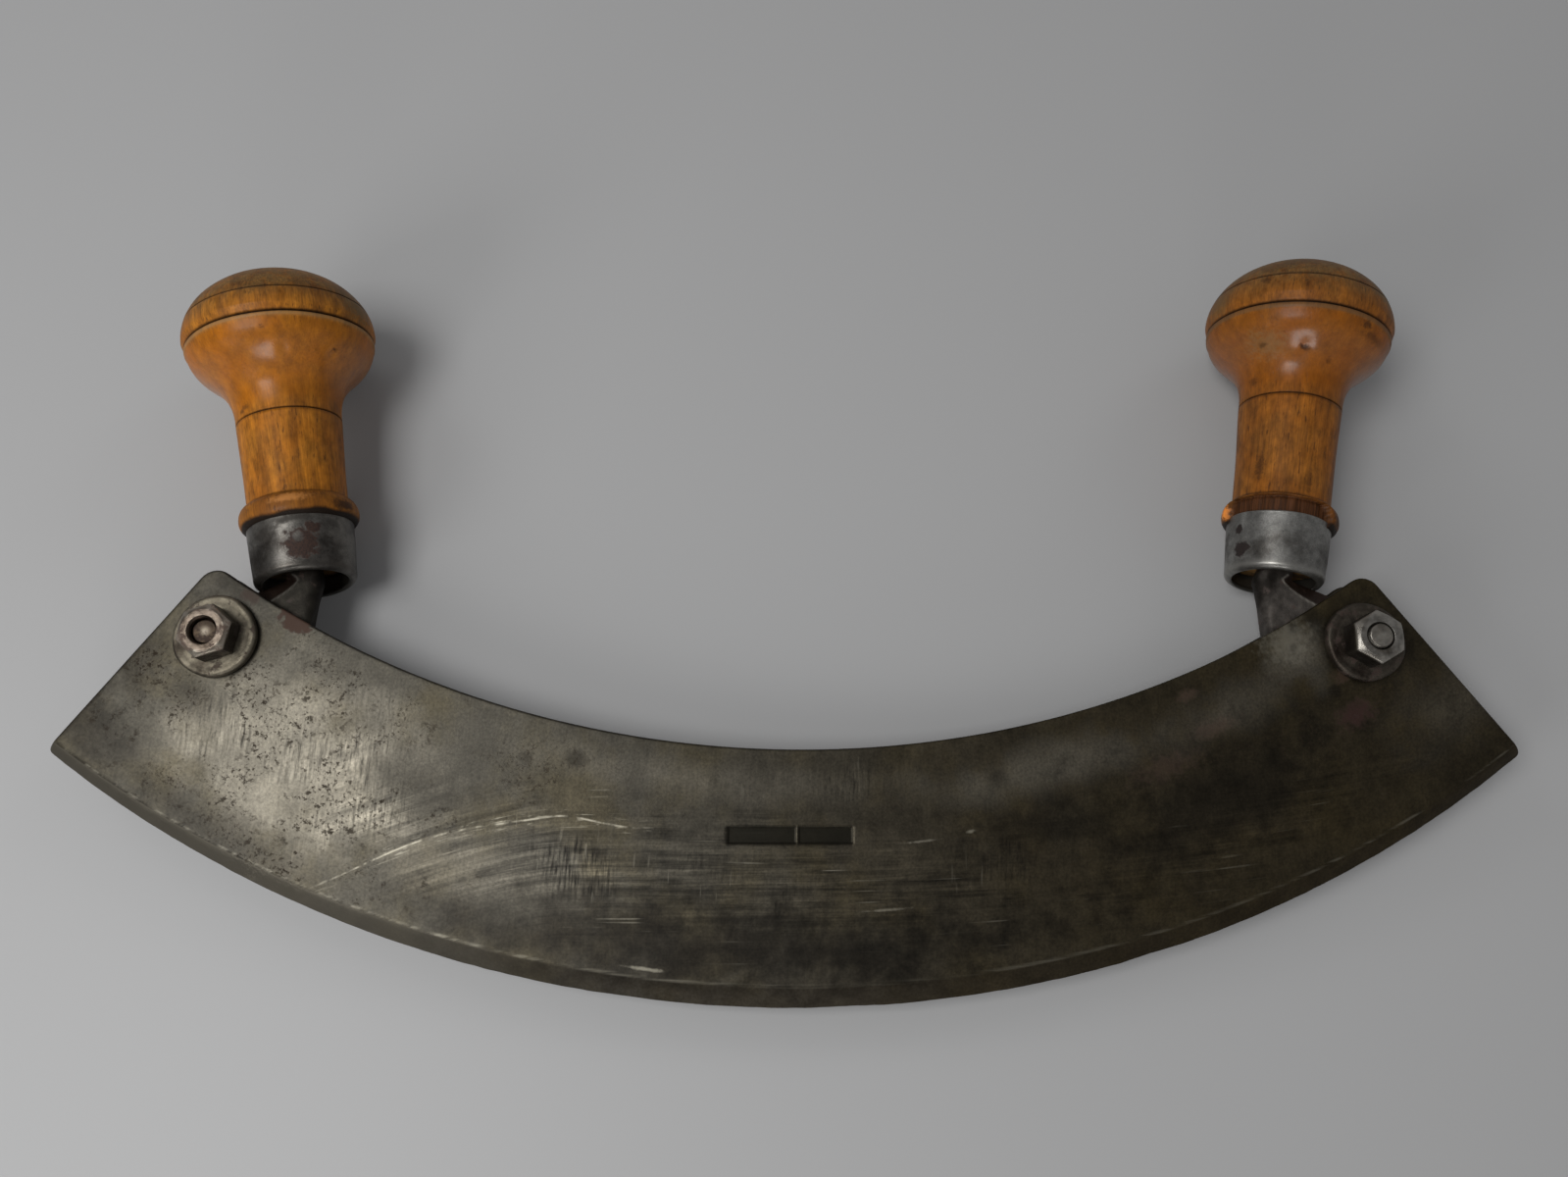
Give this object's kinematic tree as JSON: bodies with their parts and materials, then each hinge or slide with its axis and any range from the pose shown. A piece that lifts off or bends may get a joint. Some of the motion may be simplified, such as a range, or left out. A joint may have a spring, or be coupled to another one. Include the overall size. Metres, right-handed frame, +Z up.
{
  "type": "double mezzaluna",
  "caption": "Rocking herb chopper with parallel crescent blades, bolted at each end round a forged tang that carries a steel ferrule and a turned mushroom-shaped wooden handle.",
  "frame": {"origin": "bottom centre of the bounding box, on the table that the tool lies on", "axes": "+X along the chord of the blades towards the right handle, +Y from the cutting edges to the handles, +Z up from the table, out of the front blade"},
  "size_m": [0.3712, 0.1984, 0.0494],
  "materials": {
    "blade_steel": "worn, patinated, scratched along the arc",
    "forged_steel": "forged, dark, rough",
    "ferrule_steel": "satin, rust spotted",
    "fastener_steel": "dull, a little rusty",
    "varnished_wood": "old glossy varnish, worn on top"
  },
  "bodies": {
    "blades": {"front_blade": "blade_steel", "rear_blade": "blade_steel", "left_bolt": "fastener_steel", "left_front_washer": "fastener_steel", "left_rear_washer": "fastener_steel", "left_nut": "fastener_steel", "right_bolt": "fastener_steel", "right_front_washer": "fastener_steel", "right_rear_washer": "fastener_steel", "right_nut": "fastener_steel"},
    "left_handle_arm": {"left_tang": "forged_steel", "left_ferrule": "ferrule_steel", "left_handle": "varnished_wood"},
    "right_handle_arm": {"right_tang": "forged_steel", "right_ferrule": "ferrule_steel", "right_handle": "varnished_wood"}
  },
  "joints": [
    {"name": "left_handle_pivot", "type": "hinge", "parent": "blades", "child": "left_handle_arm", "pos_m": [-0.14711, -0.00914, 0.01569], "axis": [0.0028, -0.1086, 0.9941], "range_deg": [-14, 14]},
    {"name": "right_handle_pivot", "type": "hinge", "parent": "blades", "child": "right_handle_arm", "pos_m": [0.14712, -0.0091, 0.01486], "axis": [0.0028, -0.1086, 0.9941], "range_deg": [-26, 26]}
  ]
}
